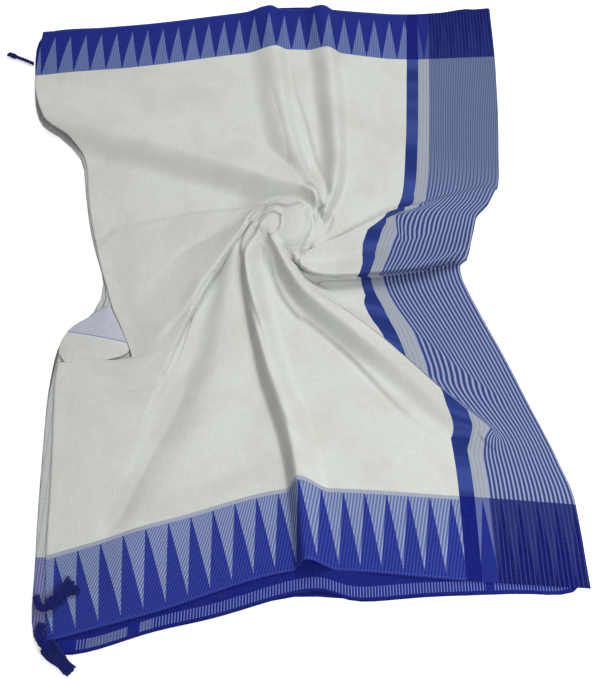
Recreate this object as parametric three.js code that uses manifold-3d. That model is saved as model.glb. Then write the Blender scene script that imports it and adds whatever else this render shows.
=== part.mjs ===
// A white cotton saree with blue temple borders, folded flat and pinched at its middle
// into a pinwheel of folds. Millimetres, +Z up. The origin is on the surface that the
// cloth lies on, under the middle of the whole outline. X runs along the cloth's length,
// from the tasselled edge to the folded end piece, and Y across it, from hem to hem.
import * as THREE from 'three';
import { mergeVertices } from 'three/addons/utils/BufferGeometryUtils.js';
import Module from 'manifold-3d';

const wasm = await Module();
wasm.setup();

// Driving sizes
const wall = 1.6; // one cloth wall, with the air held between its threads
const gap = 0.3; // clearance between stretches that touch
const bed = 9.6; // height of the upper cloth where it lies flat
const hemDrop = 2.6; // how far the upper cloth comes down towards its edges
const dropReach = 70; // width of the band in which it comes down
const foldRadius = 7; // rounding of the fold at the end piece
const hub = { x: 70, y: 61, radius: 50, height: 36, foot: 88 }; // twisted middle
const swirl = { turns: 2, pitch: 17, depth: 5 }; // folds wound into the middle
const pull = { share: 0.45, from: 120, full: 330 }; // drawing in of the cloth along a ridge
const borderShare = 0.1; // woven border, as a share of the cloth's width
const bandAt = 0.78; // start of the cross band, as a share of the stretch from edge to fold
const bandEnd = 0.81;
const innerAt = 0.18; // the sections' line in from the tasselled edge
const midAt = 0.45; // and their middle one
const underThick = 1.6; // second layer
const underTop = 4.3; // top of the second layer
const stackBase = 2.4; // top of the lowest layers
const underLap = 26; // how far the second layer reaches in under the upper one

const colours = {
  white: 0xd9dcd8,
  blue: 0x24359c,
  deepBlue: 0x1d2aa0,
  stripe: 0x6c78b4,
  navy: 0x171f63,
  lilac: 0xb4b9d4,
};

function table(columns, rows) {
  return rows.map((row) => Object.fromEntries(columns.map((name, i) => [name, row[i]])));
}

// Sections across the upper cloth, from the near hem to the far one. Each gives where that
// thread line crosses the tasselled edge, a line in from it, the middle, the cross band and
// the folded edge.
const sections = table(
  ['t', 'leftX', 'leftY', 'innerX', 'innerY', 'midX', 'midY', 'bandX', 'bandY', 'rightX', 'rightY'],
  [
    [0.0, -252, -577, -112, -542, 107, -485, 320, -499, 490, -509],
    [0.1, -270, -466, -125, -428, 97, -372, 320, -384, 488, -396],
    [0.2, -278, -366, -135, -340, 82, -271, 316, -301, 472, -331],
    [0.3, -288, -271, -145, -264, 67, -181, 281, -218, 442, -246],
    [0.38, -292, -209, -150, -215, 58, -95, 246, -149, 412, -160],
    [0.42, -288, -190, -155, -191, 56, -50, 225, -111, 390, -104],
    [0.46, -175, -160, -118, -153, 60, 0, 204, -71, 368, -44],
    [0.5, -192, -118, -112, -94, 72, 54, 189, -24, 356, -2],
    [0.53, -212, -78, -114, -40, 76, 90, 191, 12, 379, 22],
    [0.57, -226, -38, -117, 18, 77, 136, 219, 55, 390, 69],
    [0.61, -242, 6, -122, 74, 77, 186, 244, 99, 397, 96],
    [0.65, -256, 52, -130, 130, 77, 233, 269, 136, 425, 128],
    [0.7, -274, 120, -140, 195, 77, 292, 279, 199, 444, 170],
    [0.76, -294, 220, -152, 280, 77, 358, 286, 275, 454, 250],
    [0.81, -328, 266, -172, 335, 77, 412, 291, 345, 463, 335],
    [0.85, -384, 310, -198, 385, 77, 454, 295, 403, 468, 398],
    [0.9, -416, 434, -222, 466, 77, 496, 299, 470, 472, 462],
    [1.0, -420, 541, -228, 574, 77, 602, 306, 587, 478, 605],
  ],
);

// Ridges of cloth that run into the pinwheel, from their outer end to the hub's rim.
// rise: height over the bed outside, halfway and at the rim. gentle and sharp: widths of
// the two sides. sharpSide: 1 where the sharp side is on the left on the way in, else -1.
const folds = table(
  ['name', 'x0', 'y0', 'x1', 'y1', 'x2', 'y2', 'x3', 'y3', 'x4', 'y4',
    'riseOut', 'riseMid', 'riseIn', 'gentle', 'sharp', 'sharpSide'],
  [
    ['upperLeft', -410, 325, -208, 257, -38, 199, 92, 151, 124, 114, 20, 27, 33, 105, 58, -1],
    ['leftShort', -218, 60, -108, 86, -18, 98, 62, 110, 104, 95, 5, 14, 29, 55, 20, 1],
    ['leftCorner', -138, -148, -103, -64, -58, 12, -13, 66, 40, 102, 12, 25, 33, 88, 17, -1],
    ['lowerLeft', -150, -470, -48, -251, -23, -101, -10, 10, 14, 66, 5, 13, 28, 74, 50, 1],
    ['nearHem', 130, -610, 112, -346, 60, -180, 20, -16, 34, 56, 25, 31, 34, 56, 26, 1],
    ['lowerRight', 350, -290, 255, -202, 152, -111, 92, -53, 44, 32, 10, 29, 34, 58, 30, 1],
    ['waist', 392, 18, 292, 0, 192, -14, 122, -12, 82, 2, 18, 20, 31, 62, 19, 1],
    ['rightUpper', 422, 150, 302, 106, 242, 84, 150, 30, 104, 8, 6, 14, 29, 52, 22, -1],
    ['rightSoft', 282, 232, 212, 150, 166, 92, 144, 56, 116, 24, 4, 9, 27, 58, 44, -1],
    ['farRight', 130, 690, 146, 480, 152, 300, 148, 170, 132, 86, 19, 24, 32, 46, 28, 1],
    ['farLeft', 20, 700, 44, 480, 66, 300, 94, 196, 126, 120, 19, 21, 30, 58, 28, 1],
  ],
);

// Outline of the second layer, clockwise from the near hem: it shows past the near hem and
// along the tasselled edge, fills the notch beside the hub, and stops inside the folded edge.
const underOutline = table(
  ['place', 'x', 'y'],
  [
    ['near hem, folded end', 482, -511],
    ['near hem', 392, -516],
    ['near hem', 262, -521],
    ['near hem, past the ridge', 152, -527],
    ['near hem, on the ridge', 128, -513],
    ['near hem, before the ridge', 84, -518],
    ['near hem', -27, -549],
    ['near hem', -103, -564],
    ['near corner', -204, -593],
    ['near corner', -256, -588],
    ['tasselled edge', -276, -470],
    ['tasselled edge', -290, -311],
    ['tasselled edge', -297, -190],
    ['corner of the notch', -294, -146],
    ['corner of the notch', -283, -118],
    ['notch', -254, -98],
    ['notch', -221, -72],
    ['upper panel', -232, -30],
    ['upper panel', -264, 58],
    ['upper panel', -290, 170],
    ['upper panel', -306, 240],
    ['upper panel', -352, 276],
    ['upper panel', -388, 300],
    ['far edge', -420, 434],
    ['far corner', -424, 536],
    ['far corner', -404, 546],
    ['far hem', -208, 561],
    ['far hem', -8, 600],
    ['far hem', 72, 612],
    ['far hem', 192, 601],
    ['far hem', 342, 590],
    ['far corner', 470, 606],
    ['folded edge', 466, 462],
    ['folded edge', 456, 320],
    ['folded edge', 438, 172],
    ['folded edge', 386, 92],
    ['folded edge', 374, 24],
    ['waist', 350, -2],
    ['folded edge', 384, -104],
    ['folded edge', 434, -246],
    ['folded edge', 476, -396],
  ],
);

// Smooth curve through values at rising keys, with no overshoot between them.
function monotone(keys, values) {
  const steps = keys.slice(1).map((key, i) => (values[i + 1] - values[i]) / (key - keys[i]));
  const slopes = keys.map((key, i) => {
    if (i === 0) return steps[0];
    if (i === keys.length - 1) return steps[i - 1];
    if (steps[i - 1] * steps[i] <= 0) return 0;
    return (2 * steps[i - 1] * steps[i]) / (steps[i - 1] + steps[i]);
  });
  return (key) => {
    let i = 0;
    while (i < keys.length - 2 && key > keys[i + 1]) i += 1;
    const span = keys[i + 1] - keys[i];
    const u = (key - keys[i]) / span;
    const a = values[i] + span * slopes[i] * u * (1 - u) ** 2;
    const b = values[i + 1] - span * slopes[i + 1] * u * u * (1 - u);
    const mix = u * u * (3 - 2 * u);
    const lead = (1 - mix) * values[i] + mix * values[i + 1];
    return lead + (a - values[i]) + (b - values[i + 1]);
  };
}

function smooth(low, high, value) {
  return THREE.MathUtils.smoothstep(value, low, high);
}

const stations = [
  { s: 0, x: 'leftX', y: 'leftY' },
  { s: innerAt, x: 'innerX', y: 'innerY' },
  { s: midAt, x: 'midX', y: 'midY' },
  { s: bandAt, x: 'bandX', y: 'bandY' },
  { s: 1, x: 'rightX', y: 'rightY' },
].map((station) => ({
  s: station.s,
  x: monotone(sections.map((row) => row.t), sections.map((row) => row[station.x])),
  y: monotone(sections.map((row) => row.t), sections.map((row) => row[station.y])),
}));

// Where thread crossing s, t lies before the ridges draw it in.
function lay(s, t) {
  const keys = stations.map((station) => station.s);
  return {
    x: monotone(keys, stations.map((station) => station.x(t)))(s),
    y: monotone(keys, stations.map((station) => station.y(t)))(s),
  };
}

const foldSteps = 22;
const foldPaths = folds.map((fold) => {
  const points = [0, 1, 2, 3, 4].map((i) => new THREE.Vector2(fold[`x${i}`], fold[`y${i}`]));
  return new THREE.SplineCurve(points).getPoints(foldSteps);
});

// Height that one ridge adds at x, y: a cosine side each way, narrower towards the hub.
function ridge(fold, path, x, y) {
  let nearest = { distance: Infinity, along: 0, side: 1 };
  for (let i = 0; i < path.length - 1; i += 1) {
    const dx = path[i + 1].x - path[i].x;
    const dy = path[i + 1].y - path[i].y;
    const px = x - path[i].x;
    const py = y - path[i].y;
    const u = THREE.MathUtils.clamp((px * dx + py * dy) / (dx * dx + dy * dy), 0, 1);
    const distance = Math.hypot(px - u * dx, py - u * dy);
    if (distance < nearest.distance) {
      nearest = { distance, along: (i + u) / (path.length - 1), side: Math.sign(dx * py - dy * px) };
    }
  }
  const { along } = nearest;
  const rise = along < 0.5
    ? THREE.MathUtils.lerp(fold.riseOut, fold.riseMid, smooth(0, 0.5, along))
    : THREE.MathUtils.lerp(fold.riseMid, fold.riseIn, smooth(0.5, 1, along));
  const narrow = THREE.MathUtils.lerp(1, 0.42, along ** 2);
  const width = (nearest.side === fold.sharpSide ? fold.sharp : fold.gentle) * narrow;
  return rise * 0.5 * (1 + Math.cos(Math.PI * Math.min(1, nearest.distance / width)));
}

// The ridges and the hub run together smoothly.
const blend = 4;
function ridges(x, y) {
  const sum = folds.reduce((total, fold, i) => total + ridge(fold, foldPaths[i], x, y) ** blend, 0);
  const r = Math.hypot(x - hub.x, y - hub.y);
  const crown = hub.height * (1 - smooth(hub.radius * 0.6, hub.foot, r));
  return (sum + crown ** blend) ** (1 / blend);
}

// Relief of the cloth that is wound into the middle.
function wound(x, y) {
  const dx = x - hub.x;
  const dy = y - hub.y;
  const r = Math.hypot(dx, dy);
  const phase = (2 * Math.PI * r) / swirl.pitch + swirl.turns * Math.atan2(dy, dx);
  const fade = 1 - smooth(hub.radius * 0.72, hub.radius, r);
  const crown = swirl.depth * 0.8 * fade;
  return crown + swirl.depth * fade * Math.min(1, r / swirl.pitch) * Math.cos(phase);
}

// Point of the upper cloth's top face at s, t.
function upper(s, t) {
  const at = lay(s, t);
  const near = lay(s, 0);
  const far = lay(s, 1);
  const left = lay(0, t);
  const right = lay(1, t);
  const fromHem = Math.min(Math.hypot(at.x - near.x, at.y - near.y), Math.hypot(at.x - far.x, at.y - far.y));
  const fromLeft = Math.hypot(at.x - left.x, at.y - left.y);
  const fromFold = Math.hypot(at.x - right.x, at.y - right.y);
  const edge = Math.min(fromHem, fromLeft);
  const rise = ridges(at.x, at.y);
  const level = bed - hemDrop * (1 - smooth(0, dropReach, edge));
  const low = gap + wall * 1.15;
  const turned = Math.min(1, fromFold / foldRadius);
  const fall = Math.sqrt(1 - (1 - turned) ** 2);
  const r = Math.hypot(at.x - hub.x, at.y - hub.y);
  const drawn = (pull.share * rise * smooth(pull.from, pull.full, r)) / Math.max(r, 1);
  return new THREE.Vector3(
    at.x + (hub.x - at.x) * drawn,
    at.y + (hub.y - at.y) * drawn,
    low + (level + rise + wound(at.x, at.y) - low) * fall,
  );
}

function upperNormal(s, t) {
  const step = 0.004;
  const alongS = upper(Math.min(1, s + step), t).sub(upper(Math.max(0, s - step), t));
  const alongT = upper(s, Math.min(1, t + step)).sub(upper(s, Math.max(0, t - step)));
  return alongS.cross(alongT).normalize();
}

function meshFrom(name, points, triangles, colour) {
  const geometry = new THREE.BufferGeometry();
  geometry.setAttribute('position', new THREE.Float32BufferAttribute(points.flatMap((p) => [p.x, p.y, p.z]), 3));
  geometry.setIndex(triangles.flat());
  geometry.computeVertexNormals();
  const material = new THREE.MeshStandardMaterial({ color: colour, roughness: 0.9, metalness: 0 });
  const mesh = new THREE.Mesh(geometry, material);
  mesh.name = name;
  return mesh;
}

// Closed wall over a grid of top points and bottom points. A wrapped grid is a full turn.
function wallBetween(name, top, bottom, colour, wrapped = false) {
  const rows = top.length;
  const columns = top[0].length;
  const points = [...top.flat(), ...bottom.flat()];
  const under = rows * columns;
  const id = (row, column) => row * columns + (column % columns);
  const triangles = [];
  const quad = (a, b, c, d) => triangles.push([a, b, c], [a, c, d]);
  const lastColumn = wrapped ? columns : columns - 1;
  for (let row = 0; row < rows - 1; row += 1) {
    for (let column = 0; column < lastColumn; column += 1) {
      const [a, b] = [id(row, column), id(row, column + 1)];
      const [c, d] = [id(row + 1, column + 1), id(row + 1, column)];
      quad(a, b, c, d);
      quad(c + under, b + under, a + under, d + under); // split on the same diagonal
    }
  }
  for (let column = 0; column < lastColumn; column += 1) {
    const [a, b] = [id(0, column), id(0, column + 1)];
    const [c, d] = [id(rows - 1, column), id(rows - 1, column + 1)];
    quad(a, a + under, b + under, b);
    quad(d, d + under, c + under, c);
  }
  if (!wrapped) {
    for (let row = 0; row < rows - 1; row += 1) {
      const [a, b] = [id(row, 0), id(row + 1, 0)];
      const [c, d] = [id(row, columns - 1), id(row + 1, columns - 1)];
      quad(b, b + under, a + under, a);
      quad(c, c + under, d + under, d);
    }
  }
  return meshFrom(name, points, triangles, colour);
}

// Stations from low to high, closer together about a dense place.
function spread(low, high, count, dense = null, tightness = 0) {
  return Array.from({ length: count + 1 }, (_, i) => {
    const u = i / count;
    const even = low + (high - low) * u;
    if (dense === null) return even;
    const d = (dense - low) / (high - low);
    const bend = u - tightness * Math.sin(2 * Math.PI * (u - d)) / (2 * Math.PI);
    const first = tightness * Math.sin(2 * Math.PI * d) / (2 * Math.PI);
    return low + (high - low) * (bend - first);
  });
}

// The inner face lies straight under the outer one, lower where the cloth is steep, so the
// wall keeps its thickness and two stretches stay apart at a seam.
const steepest = 0.5;
function inner(point, slope) {
  return new THREE.Vector3(point.x, point.y, Math.max(gap, point.z - wall / Math.max(steepest, slope)));
}

function stretch(name, sStations, tStations, colour) {
  const top = tStations.map((t) => sStations.map((s) => upper(s, t)));
  const bottom = tStations.map((t, row) => sStations.map((s, column) => (
    inner(top[row][column], upperNormal(s, t).z))));
  return wallBetween(name, top, bottom, colour);
}

const halfSeam = { s: (0.5 * gap) / 880, t: (0.5 * gap) / 1080 };
const fieldS = spread(0, bandAt - halfSeam.s, 25, midAt, 0.45);
const fieldT = spread(borderShare + halfSeam.t, 1 - borderShare - halfSeam.t, 36, 0.5, 0.5);
const bandS = spread(bandAt + halfSeam.s, bandEnd - halfSeam.s, 1);
const endS = [...spread(bandEnd + halfSeam.s, 0.985, 5), 0.994, 1];
const nearT = spread(0, borderShare - halfSeam.t, 4);
const farT = spread(1 - borderShare + halfSeam.t, 1, 4);
const allT = [...nearT.slice(0, -1), ...fieldT, ...farT.slice(1)];

function solidOf(mesh) {
  const geometry = mesh.geometry.clone();
  geometry.deleteAttribute('normal');
  const merged = mergeVertices(geometry, 1e-4);
  return new wasm.Manifold(new wasm.Mesh({
    numProp: 3,
    vertProperties: new Float32Array(merged.attributes.position.array),
    triVerts: new Uint32Array(merged.index.array),
  }));
}

function meshOf(name, solid, colour) {
  const { numProp, vertProperties, triVerts } = solid.getMesh();
  const points = [];
  for (let i = 0; i < vertProperties.length; i += numProp) {
    points.push(new THREE.Vector3(vertProperties[i], vertProperties[i + 1], vertProperties[i + 2]));
  }
  const triangles = [];
  for (let i = 0; i < triVerts.length; i += 3) {
    triangles.push([triVerts[i], triVerts[i + 1], triVerts[i + 2]]);
  }
  return meshFrom(name, points, triangles, colour);
}

// The field has a round place cut out for the wound middle.
function bodyField() {
  const sheet = stretch('body_field', fieldS, fieldT, colours.white);
  const punch = new THREE.CylinderGeometry(hub.radius + gap, hub.radius + gap, 400, 48);
  punch.rotateX(Math.PI / 2).translate(hub.x, hub.y, 0);
  punch.deleteAttribute('uv');
  const cut = solidOf(sheet).subtract(solidOf(new THREE.Mesh(punch)));
  return meshOf('body_field', cut, colours.white);
}

// The wound middle: rings of the same surface.
function woundMiddle() {
  const spokes = 48;
  const radii = [3, 8, 13, 18, 23, 28, 33, 38, 43, 47, hub.radius];
  const face = (x, y) => new THREE.Vector3(x, y, bed + ridges(x, y) + wound(x, y));
  const at = (r, spoke) => {
    const angle = (2 * Math.PI * spoke) / spokes;
    return [hub.x + r * Math.cos(angle), hub.y + r * Math.sin(angle)];
  };
  const rings = radii.map((r) => Array.from({ length: spokes }, (_, spoke) => face(...at(r, spoke))));
  const points = [face(hub.x, hub.y), ...rings.flat()];
  const below = points.map((p) => new THREE.Vector3(p.x, p.y, p.z - wall * 1.5));
  const half = points.length;
  const id = (ring, spoke) => 1 + ring * spokes + (spoke % spokes);
  const triangles = [];
  const both = (a, b, c) => triangles.push([a, b, c], [c + half, b + half, a + half]);
  for (let spoke = 0; spoke < spokes; spoke += 1) {
    both(0, id(0, spoke), id(0, spoke + 1));
    for (let ring = 0; ring < radii.length - 1; ring += 1) {
      both(id(ring, spoke), id(ring + 1, spoke), id(ring + 1, spoke + 1));
      both(id(ring, spoke), id(ring + 1, spoke + 1), id(ring, spoke + 1));
    }
    const [a, b] = [id(radii.length - 1, spoke), id(radii.length - 1, spoke + 1)];
    triangles.push([a, a + half, b + half], [a, b + half, b]);
  }
  return meshFrom('wound_middle', [...points, ...below], triangles, colours.white);
}

const outlineCurve = new THREE.CatmullRomCurve3(
  underOutline.map((row) => new THREE.Vector3(row.x, row.y, 0)), true, 'centripetal');

// Distance from the hub to an edge of the upper cloth along a bearing: its first crossing.
const edgeSteps = spread(0, 1, 60);
const foldedEdge = edgeSteps.map((u) => upper(1, u));
const upperEdge = [
  ...edgeSteps.map((u) => upper(u, 0)),
  ...foldedEdge,
  ...edgeSteps.map((u) => upper(1 - u, 1)),
  ...edgeSteps.map((u) => upper(0, 1 - u)),
];

function edgeDistance(edge, dx, dy) {
  let best = Infinity;
  edge.slice(0, -1).forEach((a, i) => {
    const b = edge[i + 1];
    const ex = b.x - a.x;
    const ey = b.y - a.y;
    const cross = dx * ey - dy * ex;
    if (Math.abs(cross) < 1e-9) return;
    const u = ((a.x - hub.x) * ey - (a.y - hub.y) * ex) / cross;
    const v = ((a.x - hub.x) * dy - (a.y - hub.y) * dx) / cross;
    if (u > 0 && v >= 0 && v <= 1 && u < best) best = u;
  });
  return best;
}

// Bearings from the hub to evenly stepped outline points, with the reach of the second
// layer and the radius where it ends under the upper cloth. It stops inside the fold.
function raysOf(count) {
  return outlineCurve.getSpacedPoints(count).slice(0, count).reverse().map((point) => {
    const far = Math.hypot(point.x - hub.x, point.y - hub.y);
    const dx = (point.x - hub.x) / far;
    const dy = (point.y - hub.y) / far;
    const reach = Math.min(far, edgeDistance(foldedEdge, dx, dy) - 2 * foldRadius);
    const edge = Math.min(edgeDistance(upperEdge, dx, dy), reach);
    return { dx, dy, reach, inner: edge - underLap };
  });
}

function onRay(ray, r, z) {
  return new THREE.Vector3(hub.x + ray.dx * r, hub.y + ray.dy * r, z);
}

// Second layer: a wall all round under the upper cloth's edges.
function secondLayer() {
  const rays = raysOf(112);
  const share = [1, 0.5, 0];
  const lift = (ray, r) => liftAtHem(hub.x + ray.dx * r, hub.y + ray.dy * r);
  const at = (ray, part, z) => {
    const r = THREE.MathUtils.lerp(ray.inner, ray.reach, part);
    return onRay(ray, r, z + lift(ray, r));
  };
  const top = share.map((part) => rays.map((ray) => at(ray, part, underTop)));
  const bottom = share.map((part) => rays.map((ray) => at(ray, part, underTop - underThick)));
  return wallBetween('second_layer', top, bottom, colours.stripe, true);
}

// The ridges that cross a hem lift the second layer there too.
function liftAtHem(x, y) {
  const names = ['nearHem', 'farRight', 'farLeft'];
  const share = smooth(430, 500, Math.abs(y - 20));
  const sum = folds.reduce((total, fold, i) => (
    total + (names.includes(fold.name) ? ridge(fold, foldPaths[i], x, y) : 0)), 0);
  return 0.2 * sum * share;
}

// Hidden layers: one rounded solid with stepped edges, flat where it rests.
function hiddenLayers() {
  const sparse = raysOf(60);
  const rays = sparse.map((ray, i) => {
    const beside = [sparse.at(i - 1), ray, sparse[(i + 1) % sparse.length]];
    return { ...ray, inner: Math.min(...beside.map((other) => other.inner)) };
  });
  const rest = wall * 1.5 + gap + 0.9;
  const crown = (r) => hub.height * (1 - smooth(hub.radius * 0.6, hub.foot, r));
  const step = (inset, z) => rays.map((ray) => onRay(ray, ray.reach - inset, z));
  const rise = (inset, z) => rays.map((ray) => onRay(ray, ray.inner - 6 - inset, z));
  const topZ = bed - hemDrop - rest;
  const domeZ = (r) => THREE.MathUtils.lerp(topZ, bed - rest, smooth(0, 0.45, 1 - r));
  const domeRings = [0.93, 0.75, 0.5].map((part) => rays.map((ray) => (
    onRay(ray, (ray.inner - 6) * part, domeZ(part)))));
  const hubRings = [hub.foot, 62, 34].map((r) => rays.map((ray) => (
    onRay(ray, r, bed - rest + Math.max(0, crown(r) - (r < hub.foot ? 6 : 0))))));
  const rings = [
    step(5, 0),
    step(2.5, 0.7),
    step(2.5, 1.1),
    step(4, 1.5),
    step(2.5, 1.9),
    step(5, stackBase),
    rise(0, stackBase),
    rise(0, topZ - 0.5),
    rise(2, topZ),
    ...domeRings,
    ...hubRings,
  ];
  const points = rings.flat();
  const count = rays.length;
  const bottomCentre = points.push(new THREE.Vector3(hub.x, hub.y, 0)) - 1;
  const topCentre = points.push(new THREE.Vector3(hub.x, hub.y, bed - rest + hub.height - 6)) - 1;
  const triangles = [];
  for (let i = 0; i < count; i += 1) {
    const next = (i + 1) % count;
    triangles.push([bottomCentre, next, i]);
    for (let ring = 0; ring < rings.length - 1; ring += 1) {
      const [a, b] = [ring * count + i, ring * count + next];
      triangles.push([a, b, b + count], [a, b + count, a + count]);
    }
    const last = (rings.length - 1) * count;
    triangles.push([topCentre, last + i, last + next]);
  }
  return meshFrom('hidden_layers', points, triangles, colours.white);
}

// Turned-back corner that fills the notch in the tasselled edge: a soft fold of the layers
// below, from the upper cloth's edge out to the outline.
function notchFlap() {
  const roll = 3.5;
  const rimCurve = new THREE.SplineCurve([
    new THREE.Vector2(-288, -160),
    new THREE.Vector2(-288, -138),
    new THREE.Vector2(-274, -112),
    new THREE.Vector2(-248, -94),
    new THREE.Vector2(-226, -76),
  ]);
  const columns = 12;
  const shares = [0, 0.25, 0.5, 0.75, 1];
  const rows = shares.map((share) => Array.from({ length: columns + 1 }, (_, i) => {
    const edge = upper(0, THREE.MathUtils.lerp(0.43, 0.528, i / columns));
    const rim = rimCurve.getPoint(i / columns);
    const clear = 2.2 / Math.hypot(rim.x - edge.x, rim.y - edge.y);
    const part = THREE.MathUtils.lerp(clear, 1, share);
    const z = underTop + gap + wall + roll * Math.sin(Math.PI * share) ** 2;
    return new THREE.Vector3(
      THREE.MathUtils.lerp(edge.x, rim.x, part), THREE.MathUtils.lerp(edge.y, rim.y, part), z);
  }));
  const under = rows.map((row) => row.map((point) => new THREE.Vector3(point.x, point.y, point.z - wall)));
  return wallBetween('notch_flap', rows, under, colours.lilac);
}

// Closed tube along points. A section's radius may change along it and round it.
function tube(path, sides, radiusAt) {
  const points = [];
  const triangles = [];
  path.forEach((point, i) => {
    const ahead = path[Math.min(i + 1, path.length - 1)].clone().sub(path[Math.max(i - 1, 0)]).normalize();
    const across = new THREE.Vector3(0, 0, 1).cross(ahead).normalize();
    const up = ahead.clone().cross(across);
    for (let side = 0; side < sides; side += 1) {
      const angle = (2 * Math.PI * side) / sides;
      const radius = radiusAt(i / (path.length - 1), angle);
      points.push(point.clone()
        .addScaledVector(across, radius * Math.cos(angle))
        .addScaledVector(up, radius * Math.sin(angle)));
    }
  });
  const last = (path.length - 1) * sides;
  for (let side = 0; side < sides; side += 1) {
    const next = (side + 1) % sides;
    for (let row = 0; row < last; row += sides) {
      triangles.push([row + side, row + next, row + next + sides]);
      triangles.push([row + side, row + next + sides, row + side + sides]);
    }
    if (side > 0 && side < sides - 1) {
      triangles.push([0, next, side], [last, last + side, last + next]);
    }
  }
  return meshFrom('tube', points, triangles, colours.navy);
}

// Knotted warp ends: a two-ply cord, a knot, and strands that fan out from inside it.
const tassels = table(
  ['name', 'x0', 'y0', 'x1', 'y1', 'x2', 'y2', 'x3', 'y3', 'z', 'knot', 'strands', 'fan', 'length'],
  [
    ['tassel_far', -425.3, 455, -439.5, 466, -452, 470, -466, 466, 4.2, 5.5, 9, 0.9, 26],
    ['tassel_near_upper', -276, -522, -264, -531, -250, -527, -238, -514, 15.5, 7.5, 13, 1.1, 30],
    ['tassel_near_lower', -270, -586.5, -262, -598.5, -250, -604.5, -236, -604.5, 5.5, 6.5, 11, 0.9, 30],
  ],
);

function tassel(row) {
  const cordRadius = 2.3;
  const strandRadius = 1.1;
  const ply = 4; // turns of the two plies along the cord
  const route = new THREE.CatmullRomCurve3([0, 1, 2, 3].map((i) => (
    new THREE.Vector3(row[`x${i}`], row[`y${i}`], row.z))));
  const end = route.getPoint(1);
  const out = route.getTangent(1);
  const bearing = Math.atan2(out.y, out.x);
  const cord = tube(route.getPoints(16), 6, (u, angle) => (
    cordRadius * (1 + 0.22 * Math.cos(2 * (angle - Math.PI * ply * u)))));
  const knot = new THREE.SphereGeometry(row.knot, 8, 6);
  knot.deleteAttribute('uv');
  knot.scale(1.15, 1, (row.z - gap) / row.knot > 1 ? 0.75 : 0.7 * ((row.z - gap) / row.knot));
  knot.rotateZ(bearing).translate(end.x, end.y, end.z);
  let solid = solidOf(cord).add(solidOf(new THREE.Mesh(knot)));
  for (let i = 0; i < row.strands; i += 1) {
    const across = (i / (row.strands - 1)) * 2 - 1;
    const level = ((i * 7) % 5) / 4 - 0.5; // strands lie over and under each other
    const turn = bearing + 0.5 * row.fan * across;
    const length = row.length * (0.8 + 0.2 * Math.cos(3 * across + i));
    const steps = [0, 0.35, 0.7, 1].map((u) => {
      const wave = bearing + 0.5 * row.fan * across * (1 - 0.6 * u);
      return new THREE.Vector3(
        end.x + length * u * Math.cos(THREE.MathUtils.lerp(turn, wave, u)),
        end.y + length * u * Math.sin(THREE.MathUtils.lerp(turn, wave, u)) + across * 2.4,
        Math.max(strandRadius + gap, end.z + level * 3.4 - (row.z - 2.4) * 0.25 * u * u),
      );
    });
    solid = solid.add(solidOf(tube(steps, 3, () => strandRadius)));
  }
  return meshOf(row.name, solid, colours.navy);
}

const saree = new THREE.Group();
saree.name = 'folded_saree';
saree.add(bodyField());
saree.add(stretch('near_border', fieldS, nearT, colours.blue));
saree.add(stretch('far_border', fieldS, farT, colours.blue));
saree.add(stretch('cross_band', bandS, allT, colours.deepBlue));
saree.add(stretch('end_piece', endS, allT, colours.stripe));
saree.add(woundMiddle());
saree.add(secondLayer());
saree.add(hiddenLayers());
saree.add(notchFlap());
tassels.forEach((row) => saree.add(tassel(row)));

export default saree;
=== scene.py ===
import functools
import math

import bmesh
import bpy
import numpy as np
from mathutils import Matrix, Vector, noise


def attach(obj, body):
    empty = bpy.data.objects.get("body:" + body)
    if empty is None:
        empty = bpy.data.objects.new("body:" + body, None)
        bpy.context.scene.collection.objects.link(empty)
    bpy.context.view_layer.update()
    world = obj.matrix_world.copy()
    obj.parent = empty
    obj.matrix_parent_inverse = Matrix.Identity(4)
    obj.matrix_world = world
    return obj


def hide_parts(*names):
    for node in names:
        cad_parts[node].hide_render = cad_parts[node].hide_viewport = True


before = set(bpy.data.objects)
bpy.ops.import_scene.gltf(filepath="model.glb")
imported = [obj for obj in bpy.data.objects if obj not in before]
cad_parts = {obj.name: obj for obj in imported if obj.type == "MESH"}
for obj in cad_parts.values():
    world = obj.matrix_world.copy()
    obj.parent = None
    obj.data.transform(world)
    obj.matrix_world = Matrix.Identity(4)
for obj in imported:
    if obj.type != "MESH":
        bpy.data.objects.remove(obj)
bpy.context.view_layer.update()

mm = 0.001

# the upper cloth, in mm, in the part's own frame
cloth = {
    "bed": 9.6,               # height where it lies flat
    "hemDrop": 2.6,           # comes down this much at its edges
    "dropReach": 70,
    "foldRadius": 7,          # rounding of the fold at the end piece
    "length": 880,            # cloth along X, from the tasselled edge to the fold
    "width": 1130,            # cloth across, hem to hem
    "borderShare": 0.1,       # woven border
    "bandAt": 0.78,           # cross band, as shares of the length
    "bandEnd": 0.81,
    "innerAt": 0.18,          # lines within the field
    "midAt": 0.45,
    "lowest": 7.4,            # the layers below hold it up from here
    "foot": 2.1,              # height of the folded edge's underside
    "ruffle": 1.3,            # height of the soft unevenness of the flat parts
    "ruffleSize": 130,
    "ruffleEdge": 60,         # it fades out this near an edge
    "hemHold": 25,            # ridges don't roll over this near a hem
}
# the twist: its middle, the disc of wound cloth, its crown, and how far out the ridges start to roll
hub = {
    "x": 70,
    "y": 61,
    "radius": 50,
    "dip": 3,                 # the field dips this much to pass under the disc
    "height": 36,
    "foot": 88,
    "rollFrom": 54,
    "rollFull": 90,
}
# the ridges take up cloth, which draws the rest towards the twist, by a share of their height
pull = {"share": 0.45, "from": 120, "full": 330}

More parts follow.
